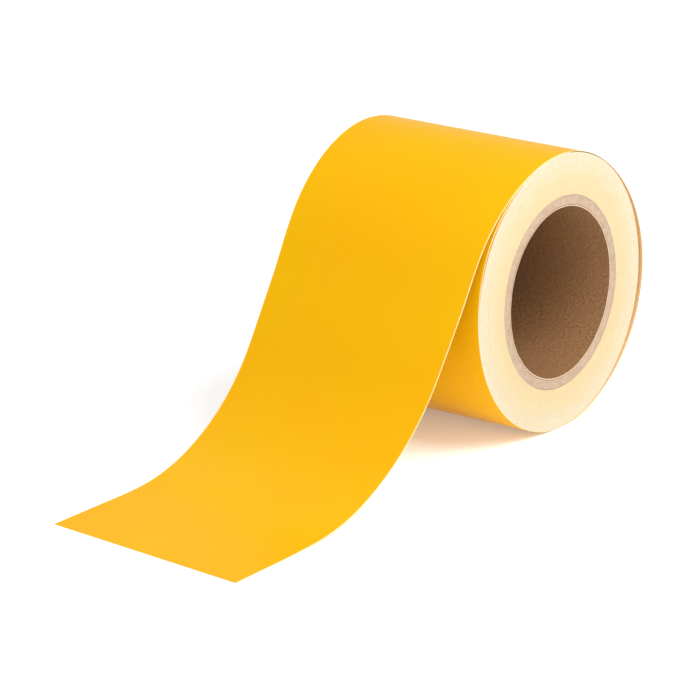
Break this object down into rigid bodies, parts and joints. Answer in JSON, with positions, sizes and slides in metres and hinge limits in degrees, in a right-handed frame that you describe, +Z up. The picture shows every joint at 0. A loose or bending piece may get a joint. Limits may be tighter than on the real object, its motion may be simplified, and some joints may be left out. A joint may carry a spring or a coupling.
{
  "type": "roll of sign vinyl",
  "caption": "Narrow roll of glossy yellow adhesive vinyl on a paperboard core, with its free end arching down and lying flat.",
  "frame": {"origin": "centre of the core's bore, halfway across the web", "axes": "+Y along the core's bore; +Z up; the free end leaves over the top and lies on the surface towards -X"},
  "size_m": [0.2882, 0.1016, 0.124],
  "materials": {
    "film": "gloss",
    "liner": "satin, silicone coated",
    "wound_layers": "cut edges of film and liner, matt",
    "core_board": "matt",
    "bore_kraft": "matt kraft",
    "tape": "matt"
  },
  "bodies": {
    "outer_turn": {"outer_turn_film": "film", "outer_turn_liner": "liner", "web_film_1": "film", "web_liner_1": "liner"},
    "wound_roll": {"core_inner_ply": "bore_kraft", "core_body_ply_1": "core_board", "core_body_ply_2": "core_board", "core_body_ply_3": "core_board", "core_body_ply_4": "core_board", "core_outer_ply": "core_board", "start_tape": "tape", "wound_web": "wound_layers"},
    "web_2": {"web_film_2": "film", "web_liner_2": "liner"},
    "web_3": {"web_film_3": "film", "web_liner_3": "liner"},
    "web_4": {"web_film_4": "film", "web_liner_4": "liner"},
    "web_5": {"web_film_5": "film", "web_liner_5": "liner"},
    "web_6": {"web_film_6": "film", "web_liner_6": "liner"},
    "web_7": {"web_film_7": "film", "web_liner_7": "liner"},
    "web_8": {"web_film_8": "film", "web_liner_8": "liner"},
    "web_9": {"web_film_9": "film", "web_liner_9": "liner"},
    "web_10": {"web_film_10": "film", "web_liner_10": "liner"},
    "web_11": {"web_film_11": "film", "web_liner_11": "liner"},
    "web_12": {"web_film_12": "film", "web_liner_12": "liner"},
    "web_13": {"web_film_13": "film", "web_liner_13": "liner"},
    "web_14": {"web_film_14": "film", "web_liner_14": "liner"},
    "web_15": {"web_film_15": "film", "web_liner_15": "liner"},
    "web_tip": {"tip_film": "film", "tip_liner": "liner"},
    "film_peel_1": {"peel_film_1": "film"},
    "film_peel_2": {"peel_film_2": "film"},
    "film_peel_3": {"peel_film_3": "film"}
  },
  "joints": [
    {"name": "roll_turn", "type": "hinge", "parent": "outer_turn", "child": "wound_roll", "pos_m": [0, 0, 0], "axis": [0, 1, 0], "continuous": true},
    {"name": "web_bend_1", "type": "hinge", "parent": "outer_turn", "child": "web_2", "pos_m": [-0.02908, 0, 0.05527], "axis": [0, -1, 0], "range_deg": [-0.4, 1.5], "stiffness_Nm_per_rad": 0.014},
    {"name": "web_bend_2", "type": "hinge", "parent": "web_2", "child": "web_3", "pos_m": [-0.04201, 0, 0.04786], "axis": [0, -1, 0], "range_deg": [-1.7, 6], "stiffness_Nm_per_rad": 0.014},
    {"name": "web_bend_3", "type": "hinge", "parent": "web_3", "child": "web_4", "pos_m": [-0.05336, 0, 0.0382], "axis": [0, -1, 0], "range_deg": [-0.8, 3], "stiffness_Nm_per_rad": 0.014},
    {"name": "web_bend_4", "type": "hinge", "parent": "web_4", "child": "web_5", "pos_m": [-0.06275, 0, 0.02662], "axis": [0, -1, 0], "range_deg": [-1.9, 6.6], "stiffness_Nm_per_rad": 0.014},
    {"name": "web_bend_5", "type": "hinge", "parent": "web_5", "child": "web_6", "pos_m": [-0.07069, 0, 0.01398], "axis": [0, -1, 0], "range_deg": [-3.8, 13.4], "stiffness_Nm_per_rad": 0.014},
    {"name": "web_bend_6", "type": "hinge", "parent": "web_6", "child": "web_7", "pos_m": [-0.0786, 0, 0.00132], "axis": [0, -1, 0], "range_deg": [-3.9, 13.5], "stiffness_Nm_per_rad": 0.014},
    {"name": "web_bend_7", "type": "hinge", "parent": "web_7", "child": "web_8", "pos_m": [-0.08651, 0, -0.01133], "axis": [0, -1, 0], "range_deg": [-4.3, 15], "stiffness_Nm_per_rad": 0.014},
    {"name": "web_bend_8", "type": "hinge", "parent": "web_8", "child": "web_9", "pos_m": [-0.09475, 0, -0.02377], "axis": [0, -1, 0], "range_deg": [-6.2, 21.6], "stiffness_Nm_per_rad": 0.014},
    {"name": "web_bend_9", "type": "hinge", "parent": "web_9", "child": "web_10", "pos_m": [-0.10465, 0, -0.03492], "axis": [0, -1, 0], "range_deg": [-6.4, 22.4], "stiffness_Nm_per_rad": 0.014},
    {"name": "web_bend_10", "type": "hinge", "parent": "web_10", "child": "web_11", "pos_m": [-0.11617, 0, -0.04439], "axis": [0, -1, 0], "range_deg": [-6.4, 22.3], "stiffness_Nm_per_rad": 0.014},
    {"name": "web_bend_11", "type": "hinge", "parent": "web_11", "child": "web_12", "pos_m": [-0.12901, 0, -0.05197], "axis": [0, -1, 0], "range_deg": [-6.4, 22.3], "stiffness_Nm_per_rad": 0.014},
    {"name": "web_bend_12", "type": "hinge", "parent": "web_12", "child": "web_13", "pos_m": [-0.14287, 0, -0.05746], "axis": [0, -1, 0], "range_deg": [-6.4, 22.3], "stiffness_Nm_per_rad": 0.014},
    {"name": "web_bend_13", "type": "hinge", "parent": "web_13", "child": "web_14", "pos_m": [-0.15742, 0, -0.06075], "axis": [0, -1, 0], "range_deg": [-6.4, 22.3], "stiffness_Nm_per_rad": 0.014},
    {"name": "web_bend_14", "type": "hinge", "parent": "web_14", "child": "web_15", "pos_m": [-0.1723, 0, -0.06174], "axis": [0, -1, 0], "range_deg": [-4.9, 17.2], "stiffness_Nm_per_rad": 0.014},
    {"name": "web_bend_15", "type": "hinge", "parent": "web_15", "child": "web_tip", "pos_m": [-0.18722, 0, -0.06174], "axis": [0, -1, 0], "range_deg": [-2, 6.9], "stiffness_Nm_per_rad": 0.014},
    {"name": "film_peel", "type": "hinge", "parent": "web_tip", "child": "film_peel_1", "pos_m": [-0.19622, 0, -0.06173], "axis": [0, 1, 0], "range_deg": [0, 45]},
    {"name": "film_peel_2", "type": "hinge", "parent": "film_peel_1", "child": "film_peel_2", "pos_m": [-0.20522, 0, -0.06173], "axis": [0, 1, 0], "range_deg": [0, 45]},
    {"name": "film_peel_3", "type": "hinge", "parent": "film_peel_2", "child": "film_peel_3", "pos_m": [-0.21422, 0, -0.06173], "axis": [0, 1, 0], "range_deg": [0, 45]}
  ],
  "couplings": [
    {"joint": "film_peel_2", "follows": "film_peel", "ratio": 1},
    {"joint": "film_peel_3", "follows": "film_peel", "ratio": 1}
  ]
}
